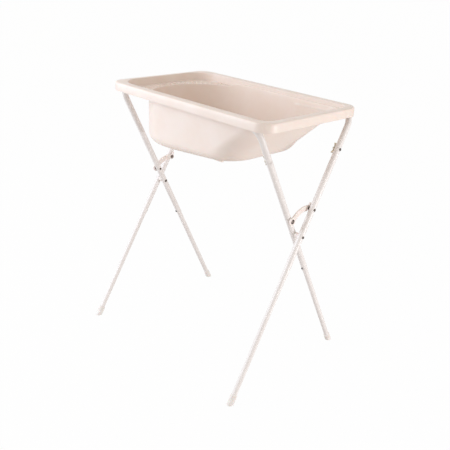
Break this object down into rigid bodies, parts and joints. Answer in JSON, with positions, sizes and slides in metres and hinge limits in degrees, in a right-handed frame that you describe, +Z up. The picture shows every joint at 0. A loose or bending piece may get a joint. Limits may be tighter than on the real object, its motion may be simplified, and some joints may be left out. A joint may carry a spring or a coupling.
{
  "type": "baby bath stand",
  "caption": "Baby bath with a sloping back rest hung on a folding X-frame stand of bent tubes, held open by hooked links, with plug-in lower legs.",
  "frame": {"origin": "on the floor, under the middle of the bath", "axes": "+X along the bath to its sloping back rest end, +Y to the rear, +Z up"},
  "size_m": [0.8192, 0.6514, 1],
  "materials": {
    "bath_plastic": "moulded polypropylene, soft gloss, warm off-white",
    "tube_paint": "powder coat, satin off-white on steel tube",
    "link_plastic": "moulded, satin off-white",
    "foot_cap": "moulded, satin off-white",
    "dark_steel": "blackened steel, satin",
    "wing_brass": "dull, brown",
    "button_plastic": "moulded, black",
    "spring_steel": "bright spring steel",
    "plug_rubber": "soft moulded, off-white"
  },
  "bodies": {
    "rear_frame": {"rear_tube": "tube_paint", "outer_leg_right": "tube_paint", "outer_lower_left": "tube_paint", "outer_lower_right": "tube_paint", "foot_front_left": "foot_cap", "foot_front_right": "foot_cap", "outer_joint_bolt": "dark_steel", "outer_wing_nut": "wing_brass", "pivot_bolts": "dark_steel", "pivot_nuts": "dark_steel", "pivot_spacers": "link_plastic", "hook_studs": "dark_steel", "stud_knobs": "dark_steel", "leaf_outer_left": "spring_steel", "leaf_outer_right": "spring_steel"},
    "front_frame": {"front_tube": "tube_paint", "inner_leg_right": "tube_paint", "inner_lower_left": "tube_paint", "inner_lower_right": "tube_paint", "foot_rear_left": "foot_cap", "foot_rear_right": "foot_cap", "inner_joint_bolt": "dark_steel", "inner_wing_nut": "wing_brass", "link_rivets": "dark_steel", "link_washers": "dark_steel", "leaf_inner_left": "spring_steel", "leaf_inner_right": "spring_steel"},
    "bath": {"tub": "bath_plastic", "drain_spout": "bath_plastic", "drain_nut": "bath_plastic"},
    "plug": {"drain_plug": "plug_rubber"},
    "link_left": {"link_left": "link_plastic"},
    "link_right": {"link_right": "link_plastic"},
    "button_outer_left": {"button_outer_left": "button_plastic"},
    "button_outer_right": {"button_outer_right": "button_plastic"},
    "button_inner_left": {"button_inner_left": "button_plastic"},
    "button_inner_right": {"button_inner_right": "button_plastic"}
  },
  "joints": [
    {"name": "bath_lift", "type": "slide", "parent": "rear_frame", "child": "bath", "axis": [0, 0.1305, 0.9914], "range_m": [0, 1.776]},
    {"name": "fold", "type": "hinge", "parent": "rear_frame", "child": "front_frame", "pos_m": [0, 0, 0.56211], "axis": [-1, 0, 0], "range_deg": [0, 55]},
    {"name": "plug_pull", "type": "slide", "parent": "bath", "child": "plug", "axis": [0, 0, 1], "range_m": [0, 0.03]},
    {"name": "link_left_swing", "type": "hinge", "parent": "front_frame", "child": "link_left", "pos_m": [-0.37, -0.033, 0.62157], "axis": [1, 0, 0], "range_deg": [0, 110]},
    {"name": "link_right_swing", "type": "hinge", "parent": "front_frame", "child": "link_right", "pos_m": [0.37, -0.033, 0.62157], "axis": [1, 0, 0], "range_deg": [0, 110]},
    {"name": "button_outer_left_press", "type": "slide", "parent": "rear_frame", "child": "button_outer_left", "axis": [0, -0.8743, 0.4853], "range_m": [0, 0.0043], "stiffness_N_per_m": 600, "springref_m": -0.004, "deforming": ["leaf_outer_left"]},
    {"name": "button_outer_right_press", "type": "slide", "parent": "rear_frame", "child": "button_outer_right", "axis": [0, -0.8743, 0.4853], "range_m": [0, 0.0043], "stiffness_N_per_m": 600, "springref_m": -0.004, "deforming": ["leaf_outer_right"]},
    {"name": "button_inner_left_press", "type": "slide", "parent": "front_frame", "child": "button_inner_left", "axis": [0, 0.8743, 0.4853], "range_m": [0, 0.0043], "stiffness_N_per_m": 600, "springref_m": -0.004, "deforming": ["leaf_inner_left"]},
    {"name": "button_inner_right_press", "type": "slide", "parent": "front_frame", "child": "button_inner_right", "axis": [0, 0.8743, 0.4853], "range_m": [0, 0.0043], "stiffness_N_per_m": 600, "springref_m": -0.004, "deforming": ["leaf_inner_right"]}
  ],
  "couplings": [
    {"joint": "fold", "follows": "bath_lift", "rad_per_m": 0.5405},
    {"joint": "link_left_swing", "follows": "bath_lift", "rad_per_m": 1.081},
    {"joint": "link_right_swing", "follows": "bath_lift", "rad_per_m": 1.081}
  ]
}
